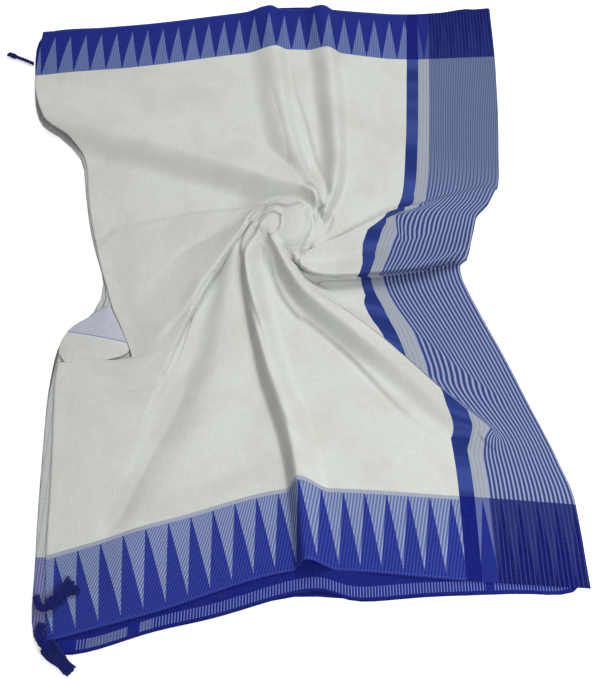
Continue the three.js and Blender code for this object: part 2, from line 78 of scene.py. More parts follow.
# sections across the cloth: share of its width, then places on the tasselled edge, two lines within
# the field, the band and the fold
sectionColumns = "t leftX leftY innerX innerY midX midY bandX bandY rightX rightY".split()
sections = [dict(zip(sectionColumns, row)) for row in (
    (0.0, -243, -576, -112, -542, 107, -485, 320, -499, 490, -509),
    (0.1, -260, -466, -125, -428, 97, -372, 320, -384, 488, -396),
    (0.2, -269, -366, -135, -340, 82, -271, 316, -301, 472, -331),
    (0.3, -279, -271, -145, -264, 67, -181, 281, -218, 442, -246),
    (0.38, -286, -203, -150, -215, 58, -95, 246, -149, 412, -160),
    (0.42, -286, -177, -155, -191, 56, -50, 225, -111, 390, -104),
    (0.46, -172, -167, -118, -153, 60, 0, 204, -71, 368, -44),
    (0.5, -192, -118, -112, -94, 72, 54, 189, -24, 356, -2),
    (0.53, -212, -78, -114, -40, 76, 90, 199, 18, 379, 22),
    (0.57, -226, -38, -117, 18, 77, 136, 219, 55, 390, 69),
    (0.61, -242, 6, -122, 74, 77, 186, 244, 99, 397, 96),
    (0.65, -256, 52, -130, 130, 77, 233, 269, 136, 425, 128),
    (0.7, -274, 120, -140, 195, 77, 292, 279, 199, 444, 170),
    (0.76, -294, 220, -152, 280, 77, 358, 286, 275, 454, 250),
    (0.81, -328, 266, -172, 335, 77, 412, 291, 345, 463, 335),
    (0.85, -384, 310, -198, 385, 77, 454, 295, 403, 468, 398),
    (0.9, -416, 422, -222, 442, 77, 487, 299, 462, 473, 470),
    (1.0, -419, 538, -228, 558, 77, 602, 306, 587, 478, 605),
)]

# ridges that run into the twist, from outside in; sharpSide is 1 for the left side
foldColumns = "name x0 y0 x1 y1 x2 y2 x3 y3 x4 y4 riseOut riseMid riseIn gentle sharp sharpSide".split()
folds = [dict(zip(foldColumns, row)) for row in (
    ("upperLeft", -410, 325, -208, 255, -38, 193, 90, 145, 122, 112, 20, 27, 33, 105, 58, -1),
    ("leftShort", -218, 60, -108, 86, -18, 98, 62, 110, 104, 95, 5, 14, 29, 55, 20, 1),
    ("leftCorner", -120, -194, -90, -98, -60, -32, -22, 29, 32, 92, 8, 24, 32, 92, 7, -1),
    ("lowerLeft", -150, -470, -48, -251, -23, -101, -10, 10, 14, 66, 5, 13, 28, 74, 50, 1),
    ("nearHem", 110, -610, 87, -346, 38, -180, 8, -16, 29, 56, 24, 31, 34, 46, 20, 1),
    ("lowerRight", 350, -290, 255, -202, 152, -111, 92, -53, 44, 32, 10, 29, 34, 58, 30, 1),
    ("waist", 392, 27, 292, -1, 192, -13, 124, -16, 84, 0, 19, 21, 31, 62, 7, 1),
    ("rightUpper", 422, 150, 302, 106, 242, 84, 150, 30, 104, 8, 6, 14, 29, 52, 22, -1),
    ("rightSoft", 282, 232, 212, 150, 166, 92, 144, 56, 116, 24, 4, 9, 27, 58, 44, -1),
    ("farRight", 130, 690, 148, 480, 158, 300, 156, 170, 135, 86, 19, 24, 32, 46, 28, 1),
    ("farLeft", 20, 700, 44, 480, 66, 300, 94, 196, 126, 120, 19, 21, 30, 58, 28, 1),
)]

# tucks and creases: high is the side that lies over the other, 1 for the left of the line;
# slide is how far the cloth is shifted along the line where some of it is tucked under
creaseColumns = "name high lift reach groove width slide slideReach startFade endFade points".split()
creases = [dict(zip(creaseColumns, row)) for row in (
    ("nearHemLeft", 1, 9, 30, 8, 9, 0, 0, 0.06, 0.4,
     ((17, 71), (2, 49), (-5, 19), (-1, -1), (6, -41), (9, -58), (19, -96), (39, -163), (67, -273))),
    ("leftCornerEdge", -1, 5, 30, 9, 6, 0, 0, 0.1, 0.42,
     ((16, 85), (-26, 20), (-68, -44), (-81, -76), (-92, -133), (-105, -179), (-118, -217))),
    ("leftCornerFar", -1, 2, 24, 1.5, 12, 0, 0, 0.2, 0.3,
     ((-60, -30), (-84, -72), (-117, -120), (-144, -157))),
    ("underLowerRight", 1, 6, 44, 3.5, 12, 0, 0, 0.15, 0.3,
     ((36, 31), (45, -18), (62, -63), (87, -98), (104, -107), (164, -164), (190, -193), (253, -264),
      (318, -312))),
    ("overLowerRight", -1, 5, 22, 1.5, 8, 108, 50, 0.25, 0.25,
     ((95, -58), (147, -82), (207, -130), (252, -172), (302, -220), (355, -266), (405, -306))),
    ("underWaist", 1, 7, 40, 8, 10, 9, 40, 0.1, 0.04,
     ((98, -22), (123, -25), (183, -22), (230, -19), (294, -9), (355, 8), (388, 20))),
    ("belowWaist", 1, 1.5, 20, 1, 12, 0, 0, 0.2, 0.4,
     ((107, -42), (132, -56), (192, -52), (240, -48))),
    ("overRightUpper", 1, 3, 26, 0.6, 6, -48, 40, 0.52, 0.24,
     ((128, 8), (150, 26), (204, 56), (232, 73), (249, 84), (275, 91), (302, 103), (340, 120))),
    ("upperLeftFoot", -1, 6, 16, 6, 12, 0, 0, 0.3, 0.1,
     ((-58, 92), (7, 99), (42, 107), (72, 111), (92, 109), (104, 100), (111, 90))),
    ("upperLeftCrest", -1, 2.2, 22, 1.2, 7, 0, 0, 0.25, 0.2,
     ((-278, 296), (-208, 264), (-158, 246), (-108, 226), (-58, 206), (-8, 186), (42, 164), (72, 156))),
    ("outerArc", -1, 6, 12, 7, 8, 0, 0, 0.15, 0.15,
     ((86, 149), (107, 136), (118, 127), (122, 112), (124, 92), (124, 76), (118, 60))),
    ("innerArc", 1, 5, 12, 4.5, 7, 0, 0, 0.1, 0.1,
     ((-8, 66), (10, 82), (27, 91), (52, 93), (67, 89), (82, 93), (100, 97))),
    ("knobArc", 1, 4, 9, 5, 7, 0, 0, 0.12, 0.12,
     ((12, 60), (18, 69), (28, 77), (42, 81), (54, 77), (62, 68))),
    ("knobCrescent", 1, 4, 9, 2.5, 6, 0, 0, 0.2, 0.2,
     ((56, 74), (58, 62), (57, 52), (50, 40), (40, 33))),
    ("knobFoot", -1, 3, 8, 2.5, 6, 0, 0, 0.2, 0.2,
     ((24, 52), (28, 38), (32, 28), (38, 18))),
    ("padRight", -1, 7, 13, 8, 7, 0, 0, 0.12, 0.12,
     ((104, 94), (110, 80), (113, 62), (110, 44), (102, 26), (94, 12), (86, 4))),
    ("padFoot", 1, 5, 12, 9, 10, 0, 0, 0.15, 0.2,
     ((98, -4), (84, -4), (78, 1), (68, 12), (58, 20))),
    ("waistPit", 1, 2, 10, 10, 10, 0, 0, 0.25, 0.25,
     ((94, -20), (104, -24), (116, -30), (126, -34))),
    ("farRightLine", 1, 4, 30, 2, 12, 0, 0, 0.25, 0.12,
     ((59, 499), (79, 395), (98, 319), (113, 249), (131, 169), (140, 139), (145, 116), (146, 89), (142, 64),
      (132, 39), (112, 9))),
    ("fanUpper", 1, 0.8, 20, 3, 18, 0, 0, 0.3, 0.2,
     ((-183, 99), (-108, 121), (-48, 137), (12, 144))),
    ("fanMiddle", 1, 0.8, 20, 3, 18, 0, 0, 0.3, 0.2,
     ((-208, 54), (-128, 74), (-58, 92), (-8, 98))),
    ("fanLower", 1, 1, 20, 2.5, 14, 0, 0, 0.3, 0.2,
     ((-138, -1), (-88, 39), (-38, 66), (-3, 80))),
    ("lowerLeftTrough", 1, 0, 20, 5, 30, 0, 0, 0.25, 0.3,
     ((-60, -120), (-101, -238), (-136, -327), (-169, -411), (-185, -455))),
    ("nearHemTuck", 1, 2, 12, 2, 8, 0, 0, 0.3, 0.3,
     ((62, -268), (72, -291), (87, -306), (96, -310))),
    ("farBandTrough", 1, 0, 20, 2.5, 20, 0, 0, 0.3, 0.3,
     ((30, 420), (50, 330), (66, 250), (72, 180))),
)]
# ridges that roll over their sharp side: mm at the crest, and the share of it left at the outer end
rolls = {
    "waist": (18, 0.5),
    "leftCorner": (9, 0),
    "nearHem": (1.5, 0.5),
    "lowerLeft": (4, 0),
    "rightUpper": (6, 0.5),
}
# lobes of cloth at the core: place, half widths and height
lobes = ((36, 59, 22, 19, 4), (84, 54, 30, 38, 5), (50, 98, 60, 11, 2.5), (124, 84, 10, 50, 2.5))


def smooth(low, high, value):
    u = np.clip((value - low) / (high - low), 0, 1)
    return u * u * (3 - 2 * u)


def curveThrough(keys, values, at):     # no overshoot between the keys
    keys = np.asarray(keys, float)
    values = [np.broadcast_to(np.asarray(v, float), at.shape) for v in values]
    steps = [(b - a) / (k1 - k0) for a, b, k0, k1 in zip(values, values[1:], keys, keys[1:])]
    slopes = [steps[0]]
    for before, after in zip(steps, steps[1:]):
        both = before * after
        total = np.where(np.abs(before + after) < 1e-12, 1, before + after)
        slopes.append(np.where(both > 0, 2 * both / total, 0))
    slopes.append(steps[-1])
    result = np.zeros(at.shape)
    place = np.clip(np.searchsorted(keys, at, side="right") - 1, 0, len(keys) - 2)
    for i in range(len(keys) - 1):
        span = keys[i + 1] - keys[i]
        u = (at - keys[i]) / span
        mix = u * u * (3 - 2 * u)
        piece = (1 - mix) * values[i] + mix * values[i + 1]
        piece = piece + span * slopes[i] * u * (1 - u) ** 2 - span * slopes[i + 1] * u * u * (1 - u)
        result = np.where(place == i, piece, result)
    return result


def lay(s, t):
    keys = [row["t"] for row in sections]
    stations = [0, cloth["innerAt"], cloth["midAt"], cloth["bandAt"], 1]
    names = ["left", "inner", "mid", "band", "right"]
    x = [curveThrough(keys, [row[name + "X"] for row in sections], t) for name in names]
    y = [curveThrough(keys, [row[name + "Y"] for row in sections], t) for name in names]
    return curveThrough(stations, x, s), curveThrough(stations, y, s)


def splinePoints(points, count):
    points = [2 * points[0] - points[1]] + points + [2 * points[-1] - points[-2]]
    result = []
    for i in range(count + 1):
        place = i / count * (len(points) - 3)
        k = min(int(place), len(points) - 4)
        u = place - k
        a, b, c, d = points[k:k + 4]
        result.append(0.5 * ((2 * b) + (c - a) * u + (2 * a - 5 * b + 4 * c - d) * u * u
                             + (3 * b - a - 3 * c + d) * u ** 3))
    return np.array(result)


def nearestOn(path, x, y):      # distance, place along 0 to 1, and side: 1 is the left
    best = np.full(x.shape, 1e9)
    along = np.zeros(x.shape)
    side = np.ones(x.shape)
    for i, (a, b) in enumerate(zip(path, path[1:])):
        d = b - a
        px, py = x - a[0], y - a[1]
        u = np.clip((px * d[0] + py * d[1]) / (d @ d), 0, 1)
        distance = np.hypot(px - u * d[0], py - u * d[1])
        closer = distance < best
        best = np.where(closer, distance, best)
        along = np.where(closer, (i + u) / (len(path) - 1), along)
        side = np.where(closer, np.sign(d[0] * py - d[1] * px), side)
    return best, along, side


foldPaths = [splinePoints([np.array([fold["x%d" % i], fold["y%d" % i]], float) for i in range(5)], 22)
             for fold in folds]


def narrowing(along):      # ridges get narrower towards the twist
    return 1 - 0.58 * along ** 2


def ridge(fold, path, x, y):
    distance, along, side = nearestOn(path, x, y)
    early = fold["riseOut"] + (fold["riseMid"] - fold["riseOut"]) * smooth(0, 0.5, along)
    late = fold["riseMid"] + (fold["riseIn"] - fold["riseMid"]) * smooth(0.5, 1, along)
    rise = np.where(along < 0.5, early, late)
    width = np.where(side == fold["sharpSide"], fold["sharp"], fold["gentle"]) * narrowing(along)
    return rise * 0.5 * (1 + np.cos(np.pi * np.minimum(1, distance / width)))


def ridges(x, y):      # they merge softly with each other and with the crown of the twist
    power = 4
    total = sum(ridge(fold, path, x, y) ** power for fold, path in zip(folds, foldPaths))
    r = np.hypot(x - hub["x"], y - hub["y"])
    crown = hub["height"] * (1 - smooth(hub["radius"] * 0.6, hub["foot"], r))
    return (total + crown ** power) ** (1 / power)


creasePaths = [splinePoints([np.array(point, float) for point in crease["points"]],
                            3 * (len(crease["points"]) - 1)) for crease in creases]


def strength(crease, along):      # a crease runs out at both ends
    return smooth(0, crease["startFade"], along) * (1 - smooth(1 - crease["endFade"], 1, along))


def runsOf(path):      # directions along a line, and where they are
    runs = np.gradient(path, axis=0)
    return runs / np.hypot(runs[:, 0], runs[:, 1])[:, None], np.linspace(0, 1, len(path))


def rolled(x, y):      # how far the ridges roll over
    overX, overY = np.zeros(x.shape), np.zeros(x.shape)
    r = np.hypot(x - hub["x"], y - hub["y"])
    for fold, path in zip(folds, foldPaths):
        if fold["name"] not in rolls:
            continue
        distance, along, side = nearestOn(path, x, y)
        runs, stops = runsOf(path)
        width = np.where(side == fold["sharpSide"], fold["sharp"] + 2, fold["gentle"]) * narrowing(along)
        most, outerShare = rolls[fold["name"]]
        size = most * 0.5 * (1 + np.cos(np.pi * np.minimum(1, distance / width)))
        size = size * (outerShare + (1 - outerShare) * smooth(0, 0.35, along))
        size = size * smooth(hub["rollFrom"], hub["rollFull"], r) * fold["sharpSide"]
        rx, ry = (np.interp(along, stops, runs[:, i]) for i in (0, 1))
        overX, overY = overX - ry * size, overY + rx * size
    return overX, overY


def slid(x, y):      # shifts the cloth along its tucks, following each line
    for crease, path in zip(creases, creasePaths):
        if not crease["slide"]:
            continue
        distance, along, side = nearestOn(path, x, y)
        runs, stops = runsOf(path)
        length = np.hypot(*np.diff(path, axis=0).T).sum()
        full = strength(crease, along)
        near = np.maximum(0, 1 - distance / crease["slideReach"])
        near = near * np.minimum(1, distance / (7 - 5.5 * full))      # a weak tuck has no sharp step
        moved = along - 0.5 * crease["slide"] * side * near * full / length
        offset = side * distance
        change = np.zeros(x.shape + (2,))
        for place, sign in ((np.clip(moved, 0, 1), 1), (along, -1)):
            px, py = (np.interp(place, stops, path[:, i]) for i in (0, 1))
            rx, ry = (np.interp(place, stops, runs[:, i]) for i in (0, 1))
            change[..., 0] += sign * (px - offset * ry)
            change[..., 1] += sign * (py + offset * rx)
        x, y = x + change[..., 0], y + change[..., 1]
    return x, y


def wound(x, y):      # lobes of the core, tucks and creases
    height = np.zeros(x.shape)
    for lobeX, lobeY, wide, deep, rise in lobes:
        r = np.hypot((x - lobeX) / wide, (y - lobeY) / deep)
        height = height + rise * np.maximum(0, 1 - r * r) ** 0.8
    for crease, path in zip(creases, creasePaths):
        distance, along, side = nearestOn(path, x, y)
        over = (1 - smooth(0, crease["reach"], distance)) * (0.5 + 0.5 * smooth(0, 5, distance))
        under = 0.5 * np.maximum(0, 1 - distance / 3)
        shape = crease["lift"] * np.where(side == crease["high"], over, under)
        shape = shape - crease["groove"] * np.maximum(0, 1 - distance / crease["width"]) ** 2
        height = height + shape * strength(crease, along)
    return height


def unevenness(x, y):
    height = np.zeros(x.shape)
    for i in range(x.size):
        place = Vector((x.flat[i], y.flat[i], 0)) / cloth["ruffleSize"] + Vector((0, 0, 3.7))
        height.flat[i] = noise.noise(place) + 0.45 * noise.noise(place * 2.6) + 0.16 * noise.noise(place * 7)
    return height * cloth["ruffle"]


def clothPoint(s, t):
    x, y = lay(s, t)
    zero, one = np.zeros(s.shape), np.ones(s.shape)
    nearX, nearY = lay(s, zero)
    farX, farY = lay(s, one)
    leftX, leftY = lay(zero, t)
    rightX, rightY = lay(one, t)
    fromHem = np.minimum(np.hypot(x - nearX, y - nearY), np.hypot(x - farX, y - farY))
    fromLeft = np.hypot(x - leftX, y - leftY)
    fromFold = np.hypot(x - rightX, y - rightY)
    edge = np.minimum(fromHem, fromLeft)
    x, y = slid(x, y)
    rise = ridges(x, y)
    level = cloth["bed"] - cloth["hemDrop"] * (1 - smooth(0, cloth["dropReach"], edge))
    level = level + unevenness(x, y) * smooth(0, cloth["ruffleEdge"], edge)
    low = cloth["foot"]
    fall = np.sqrt(1 - (1 - np.minimum(1, fromFold / cloth["foldRadius"])) ** 2)
    r = np.hypot(x - hub["x"], y - hub["y"])
    drawn = pull["share"] * rise * smooth(pull["from"], pull["full"], r) / np.maximum(r, 1)
    z = low + (np.maximum(level + rise + wound(x, y), cloth["lowest"]) - low) * fall
    overX, overY = rolled(x, y)
    free = smooth(0, cloth["hemHold"], fromHem)
    return x + (hub["x"] - x) * drawn + overX * free, y + (hub["y"] - y) * drawn + overY * free, z


# materials; every place in them is in mm

def linear(hexColour):      # sRGB hex to linear
    parts = [int(hexColour[i:i + 2], 16) / 255 for i in (1, 3, 5)]
    return [p / 12.92 if p <= 0.04045 else ((p + 0.055) / 1.055) ** 2.4 for p in parts] + [1]


def addNode(tree, kind, inputs=(), output=None, **settings):      # inputs by name, or in order
    made = tree.nodes.new("ShaderNode" + kind)
    for name, value in settings.items():
        setattr(made, name, value)
    if isinstance(inputs, dict):
        pairs = [(made.inputs[name], value) for name, value in inputs.items()]
    else:
        pairs = zip([socket for socket in made.inputs if socket.enabled], inputs)
    for socket, value in pairs:
        if isinstance(value, bpy.types.NodeSocket):
            tree.links.new(value, socket)
        else:
            socket.default_value = value
    given = [socket for socket in made.outputs if socket.enabled and output in (None, socket.name)]
    return given[0] if given else None


def newMaterial(name):      # with the function that adds nodes to it
    material = bpy.data.materials.new(name)
    material.use_nodes = True
    material.node_tree.nodes.clear()
    return material, functools.partial(addNode, material.node_tree)


def placeIn(add, source):      # its first two coordinates, from metres to mm
    parts = [add("SeparateXYZ", [source], axis) for axis in "XY"]
    return [add("Math", [part, 1 / mm], operation="MULTIPLY") for part in parts]


weave = {
    "thread": 1.9,          # mm; the real threads are about 0.5, too fine to show
    "slub": 26,             # mm, length of a thick place in a yarn
    "bump": 0.25,
    "depth": 0.6,           # mm
    "roughness": 0.86,
    "specular": 0.12,
    "sheen": 0.12,          # for undyed cloth; dyed cloth has none
    "thin": "#4c514f",      # thin places in a yarn go towards this
}


def threadHeight(add, u, v):      # warp and weft, each thick and thin along its yarns
    yarns = []
    for uSize, vSize in ((weave["thread"], weave["slub"]), (weave["slub"], weave["thread"])):
        across = add("Math", [u, uSize], operation="DIVIDE")
        along = add("Math", [v, vSize], operation="DIVIDE")
        place = add("CombineXYZ", [across, along])
        yarns.append(add("TexNoise", [place, 1.0, 2.0], noise_dimensions="2D"))
    return add("Math", yarns, operation="ADD")


def clothShader(add, colour, height, sheen=0.0):
    bump = add("Bump", {"Strength": weave["bump"], "Distance": weave["depth"] * mm, "Height": height})
    shader = add("BsdfPrincipled", {
        "Base Color": colour,
        "Roughness": weave["roughness"],
        "Normal": bump,
        "Sheen Weight": sheen,
        "Sheen Roughness": 0.5,
        "Specular IOR Level": weave["specular"],
    })
    add("OutputMaterial", {"Surface": shader})


def toned(add, colour, height, amount):      # yarns take the dye unevenly
    uneven = add("Math", [height, 1.0], operation="SUBTRACT")
    share = add("Math", [uneven, amount, 0.12], operation="MULTIPLY_ADD")
    darker = add("Mix", [0.3, colour, linear(weave["thin"])], data_type="RGBA")
    return add("Mix", [share, colour, darker], data_type="RGBA")


def stripes(add, value, pitch, share):      # 1 on a stripe
    turn = add("Math", [value, pitch], operation="DIVIDE")
    part = add("Math", [turn], operation="FRACT")
    return add("Math", [part, 0.5, share / 2], operation="COMPARE")


def between(add, value, low, high):      # 1 between the two
    above = add("Math", [value, low], operation="GREATER_THAN")
    return add("Math", [above, add("Math", [value, high], operation="LESS_THAN")], operation="MULTIPLY")


cottonWhite = {"colour": "#cfd2cd", "warm": "#cacbc4", "patch": 90}      # patch in mm


def whiteCotton():      # bleached handloom cotton, plain weave: matt, slightly uneven yarns
    material, add = newMaterial("bleached handloom cotton")
    u, v = placeIn(add, add("UVMap", uv_map="cloth"))
    height = threadHeight(add, u, v)
    patches = add("TexNoise", [add("CombineXYZ", [u, v]), 1 / cottonWhite["patch"], 2.0],
                  noise_dimensions="2D")
    warm = add("MapRange", [patches, 0.4, 0.7], interpolation_type="SMOOTHSTEP")
    colour = add("Mix", [warm, linear(cottonWhite["colour"]), linear(cottonWhite["warm"])],
                 data_type="RGBA")
    clothShader(add, toned(add, colour, height, 0.6), height, weave["sheen"])
    return material


temple = {
    "step": 4.4,            # the woven steps of the spikes' sides
    "lines": 4.6,           # pitch of the thin lines through the ground and the spikes
    "leanFrom": 200,        # everything leans more towards the left: none here along X
    "leanFull": -240,       # and all of it here
    "selvedge": (2.0, 3.4),
    "selvedgeColour": "#3f4d9e",
}
# each border: mm from spike to spike, solid foot below the spikes, height of their tips, the pale
# line inside if it is nearer than the border is wide, and how far the thin lines and the spikes
# lean, in mm along for each mm across
nearTemple = {
    "pitch": 29.3, "foot": 6, "tip": 108, "edge": 107, "inside": "#9fa5b6",
    "spike": "#1a2780", "spikeLine": "#313f96", "ground": "#5c6b98", "groundLine": "#8e9ac0",
    "lineShare": 0.45, "lean": -0.75, "skew": 0.11,
}
farTemple = {
    "pitch": 30.2, "foot": 15, "tip": 114, "edge": 200, "inside": "#9fa5b6",
    "spike": "#15247c", "spikeLine": "#1f2e88", "ground": "#55669c", "groundLine": "#6f7fac",
    "lineShare": 0.3, "lean": 0.1, "skew": 0.0,
}


def spikeMask(add, along, rise, border, skew=0.0):      # 1 on a spike
    stepped = add("Math", [rise, temple["step"]], operation="SNAP")
    halfShare = add("MapRange", [stepped, border["foot"], border["tip"], 0.5, 0.0])
    tilted = add("Math", [rise, skew, along], operation="MULTIPLY_ADD")
    turn = add("Math", [tilted, border["pitch"]], operation="DIVIDE")
    part = add("Math", [turn], operation="FRACT")
    return add("Math", [part, 0.5, halfShare], operation="COMPARE")


def inFrom(add, v, hem):      # distance in from a hem
    return add("Math", [add("Math", [v, hem], operation="SUBTRACT")], operation="ABSOLUTE")


def templeCotton(name, hem, border):      # yarn-dyed border, spikes woven in steps
    material, add = newMaterial(name)
    u, v = placeIn(add, add("UVMap", uv_map="cloth"))
    height = threadHeight(add, u, v)
    rise = inFrom(add, v, hem)
    fade = add("MapRange", [u, temple["leanFrom"], temple["leanFull"]], interpolation_type="SMOOTHSTEP")
    slant = add("Math", [fade, border["lean"] * 0.7, border["lean"] * 0.3], operation="MULTIPLY_ADD")
    leaning = add("Math", [rise, slant, u], operation="MULTIPLY_ADD")
    line = stripes(add, leaning, temple["lines"], border["lineShare"])
    ground = add("Mix", [line, linear(border["ground"]), linear(border["groundLine"])], data_type="RGBA")
    blue = add("Mix", [line, linear(border["spike"]), linear(border["spikeLine"])], data_type="RGBA")
    skew = add("Math", [fade, border["skew"]], operation="MULTIPLY")
    colour = add("Mix", [spikeMask(add, u, rise, border, skew), ground, blue], data_type="RGBA")
    inside = add("Math", [rise, border["edge"]], operation="GREATER_THAN")
    colour = add("Mix", [inside, colour, linear(border["inside"])], data_type="RGBA")
    selvedge = add("Math", [between(add, rise, *temple["selvedge"]), 0.5], operation="MULTIPLY")
    colour = add("Mix", [selvedge, colour, linear(temple["selvedgeColour"])], data_type="RGBA")
    clothShader(add, toned(add, colour, height, 0.8), height)
    return material


bandColours = {"field": "#1c2e74", "light": "#34478e", "border": "#0a1470", "patch": 60}      # patch in mm


def bandCotton():      # mercerised weft band: a deeper and more even blue
    material, add = newMaterial("mercerised blue weft band")
    u, v = placeIn(add, add("UVMap", uv_map="cloth"))
    height = threadHeight(add, u, v)
    patches = add("TexNoise", [add("CombineXYZ", [0.0, v]), 1 / bandColours["patch"], 1.0],
                  noise_dimensions="2D")
    lighter = add("MapRange", [patches, 0.42, 0.62], interpolation_type="SMOOTHSTEP")
    colour = add("Mix", [lighter, linear(bandColours["field"]), linear(bandColours["light"])],
                 data_type="RGBA")
    nearest = add("Math", [v, inFrom(add, v, cloth["width"])], operation="MINIMUM")
    inBorder = add("Math", [nearest, cloth["borderShare"] * cloth["width"]], operation="LESS_THAN")
    colour = add("Mix", [inBorder, colour, linear(bandColours["border"])], data_type="RGBA")
    clothShader(add, toned(add, colour, height, 0.6), height)
    return material


# the end piece: each set of stripes has its pitch in mm, the share that is stripe, ground and stripe
ends = {
    "bold": (7.2, 0.42, "#334274", "#929cc2"),
    "fine": (3.6, 0.4, "#49577c", "#7682a6"),      # towards the far hem
    "fineFrom": 700,                               # mm from the near hem
    "fineFull": 860,
    "pale": (7.2, 0.12, "#9da4ae", "#8089a0"),     # the pale band beside the cross band
    "paleWidth": 24,
    "spikesFrom": 2,                               # mm that the first spike is moved
    "thin": (7.2, 0.2),                            # thin lines through its borders
    "near": (0, nearTemple, "#5c689c", "#080f58", "#2b3990"),      # hem, spikes, ground, blue, line
    "far": (cloth["width"], farTemple, "#3d4c8a", "#081259", "#22318a"),
}


def stripedCotton():      # end piece: pale weft stripes on blue
    material, add = newMaterial("striped end piece cotton")
    u, v = placeIn(add, add("UVMap", uv_map="cloth"))
    height = threadHeight(add, u, v)
    along = add("Math", [u, cloth["bandEnd"] * cloth["length"]], operation="SUBTRACT")
    bold, fine, pale = (
        add("Mix", [stripes(add, along, pitch, share), linear(ground), linear(stripe)], data_type="RGBA")
        for pitch, share, ground, stripe in (ends["bold"], ends["fine"], ends["pale"]))
    finer = add("MapRange", [v, ends["fineFrom"], ends["fineFull"]], interpolation_type="SMOOTHSTEP")
    colour = add("Mix", [finer, bold, fine], data_type="RGBA")
    inPale = add("Math", [along, ends["paleWidth"]], operation="LESS_THAN")
    colour = add("Mix", [inPale, colour, pale], data_type="RGBA")
    moved = add("Math", [along, ends["spikesFrom"]], operation="ADD")
    for hem, border, ground, deep, thin in (ends["near"], ends["far"]):
        rise = inFrom(add, v, hem)
        spikes = spikeMask(add, moved, rise, border)
        wedge = add("Math", [1.0, spikes], operation="SUBTRACT")
        lines = stripes(add, along, *ends["thin"])
        solid = add("Mix", [lines, linear(deep), linear(thin)], data_type="RGBA")
        faint = add("Math", [wedge, 0.12], operation="MULTIPLY")
        faded = add("Mix", [faint, solid, linear(ground)], data_type="RGBA")
        opened = add("Mix", [spikes, linear(ground), linear(border["spike"])], data_type="RGBA")
        woven = add("Mix", [inPale, faded, opened], data_type="RGBA")
        inBorder = add("Math", [rise, cloth["borderShare"] * cloth["width"]], operation="LESS_THAN")
        colour = add("Mix", [inBorder, colour, woven], data_type="RGBA")
    clothShader(add, toned(add, colour, height, 0.7), height)
    return material


# the layers below show their own borders; places along X and Y, or in from the edge, in mm
below = {
    "nearBlue": -468,          # the near border starts here
    "farBlue": 432,
    "dash": 4.1,               # pitch of the pale dashes across the near border
    "dashed": (7.0, 21.0),     # the dashed part, in from the hem
    "dashesFrom": -205,
    "farLine": (9.0, 17.0),    # the paler line of the far border, in from the hem
    "edgeStrip": -238,         # left of this the cut edges of the folds show, pale
    "edgeStripFrom": -562,     # and nearer than this they don't
    "bands": ((346, 358), (-138, -122)),      # cross bands that show past the near hem
    "greyed": (-190, -106),    # paler ground beside one of them
}


def layerCotton():      # white cotton with the blue borders of the folds underneath
    material, add = newMaterial("cotton of the folds underneath")
    x, y = placeIn(add, add("TexCoord", output="Object"))
    height = threadHeight(add, x, y)
    fromEdge = placeIn(add, add("UVMap", uv_map="edge"))[0]
    pale = add("Mix", [stripes(add, x, 9.0, 0.12), linear("#bfc2c0"), linear("#a4a7b2")], data_type="RGBA")
    shown = add("Math", [x, below["dashesFrom"]], operation="GREATER_THAN")
    for low, high in below["bands"]:
        outside = add("Math", [1.0, between(add, x, low, high)], operation="SUBTRACT")
        shown = add("Math", [shown, outside], operation="MULTIPLY")
    inDashed = between(add, fromEdge, *below["dashed"])
    facing = add("SeparateXYZ", [add("NewGeometry", output="Normal")], "Z")
    upward = add("Math", [facing, 0.8], operation="GREATER_THAN")
    dashes = stripes(add, x, below["dash"], 0.36)
    for mask in (shown, upward, inDashed):
        dashes = add("Math", [dashes, mask], operation="MULTIPLY")
    greyed = add("Math", [between(add, x, *below["greyed"]), shown], operation="MULTIPLY")
    ground = add("Mix", [greyed, linear("#131f7c"), linear("#4d5882")], data_type="RGBA")
    # outside the dashed part the ground is a deep blue: at the outer edge this is the border's own solid
    # line, further in, under the upper cloth's hem, it is painted shadow
    ground = add("Mix", [inDashed, linear("#111b74"), ground], data_type="RGBA")
    near = add("Mix", [dashes, ground, linear("#6c78b2")], data_type="RGBA")
    edges = add("Mix", [stripes(add, x, 4.0, 0.35), linear("#8486ae"), linear("#4a5096")], data_type="RGBA")
    leftOf = add("Math", [x, below["edgeStrip"]], operation="LESS_THAN")
    beyond = add("Math", [y, below["edgeStripFrom"]], operation="GREATER_THAN")
    inStrip = add("Math", [leftOf, beyond], operation="MULTIPLY")
    near = add("Mix", [inStrip, near, edges], data_type="RGBA")
    onLine = between(add, fromEdge, *below["farLine"])
    far = add("Mix", [onLine, linear("#131d6a"), linear("#44538f")], data_type="RGBA")
    inNear = add("Math", [y, below["nearBlue"]], operation="LESS_THAN")
    colour = add("Mix", [inNear, pale, near], data_type="RGBA")
    inFar = add("Math", [y, below["farBlue"]], operation="GREATER_THAN")
    colour = add("Mix", [inFar, colour, far], data_type="RGBA")
    clothShader(add, toned(add, colour, height, 0.8), height)
    return material


# where the lilac part of the flap starts, in mm, and the painted highlight and painted shade on either side
# of the fold there
corner = {"x": -283, "y": -121, "lean": 0.2, "pitch": 3.1, "paintedFoldShade": (0.0, 1.8), "paintedFoldHighlight": (-3.0, 0.0)}


